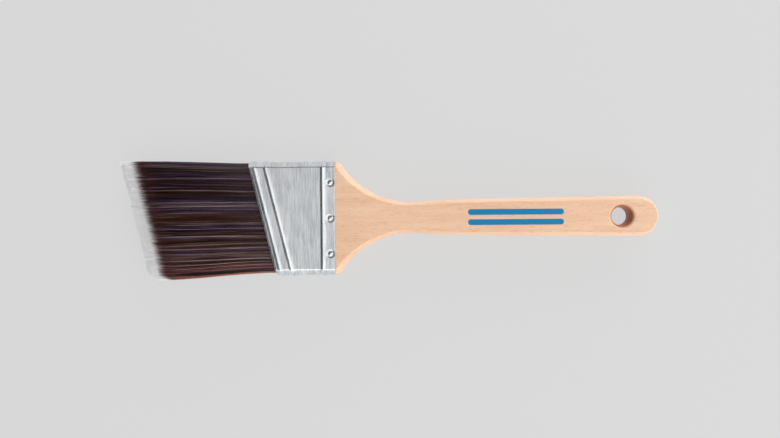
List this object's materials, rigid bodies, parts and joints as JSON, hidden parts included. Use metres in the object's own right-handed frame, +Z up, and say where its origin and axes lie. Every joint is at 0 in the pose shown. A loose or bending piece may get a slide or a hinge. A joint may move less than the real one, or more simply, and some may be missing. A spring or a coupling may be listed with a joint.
{
  "type": "paint brush",
  "caption": "Angled trim paint brush with a beaver-tail wooden handle, a pressed steel ferrule with a slanted mouth, and a dark tapered filament head with pale tips.",
  "frame": {"origin": "on the surface the brush lies on, under the centre of its outline", "axes": "+X along the brush towards the hanging end of the handle, +Y towards the long side of the angled head, +Z up from the surface, out of the upper wide face"},
  "size_m": [0.3011, 0.0666, 0.0172],
  "materials": {
    "beech": "sanded smooth, clear satin lacquer",
    "ferrule_steel": "fine brushing across the width",
    "nail_steel": "bright domed heads",
    "epoxy": "set amber resin",
    "plug_wood": "plain sawn strip",
    "filament": "dark maroon tapered filaments with flagged pale tips"
  },
  "bodies": {
    "root": {"handle": "beech", "ferrule": "ferrule_steel", "nails_front": "nail_steel", "nails_back": "nail_steel", "epoxy_set": "epoxy", "spacer_plug_front": "plug_wood", "spacer_plug_back": "plug_wood", "bristles_front": "filament", "bristles_middle": "filament", "bristles_back": "filament", "bristles_toe": "filament", "bristles_heel": "filament"}
  },
  "joints": []
}
